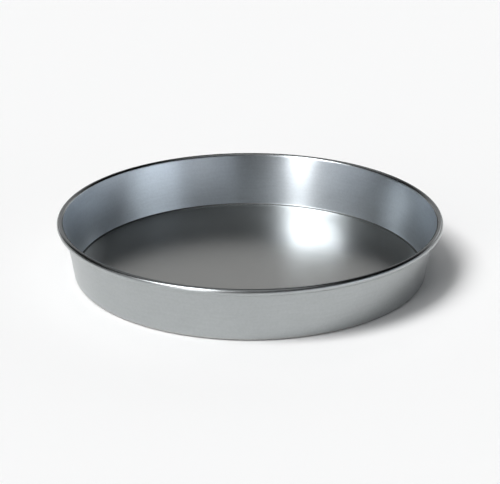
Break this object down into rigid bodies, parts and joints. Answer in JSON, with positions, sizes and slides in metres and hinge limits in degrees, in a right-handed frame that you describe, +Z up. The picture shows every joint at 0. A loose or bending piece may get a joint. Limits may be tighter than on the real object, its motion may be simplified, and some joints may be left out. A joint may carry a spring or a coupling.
{
  "type": "pizza pan",
  "caption": "Round deep-dish pizza pan of tin-plated sheet steel, with a flat base, a tapered wall and a rolled edge closed over a stiffening wire.",
  "frame": {"origin": "centre of the underside, on the surface that the pan stands on", "axes": "+Z up along the pan's axis of revolution, +X to the right in the picture's view"},
  "size_m": [0.263, 0.263, 0.0388],
  "materials": {
    "tin_plate": "satin tin plate",
    "steel_wire": "bright drawn wire"
  },
  "bodies": {
    "root": {"pan_shell": "tin_plate", "rim_wire": "steel_wire"}
  },
  "joints": []
}
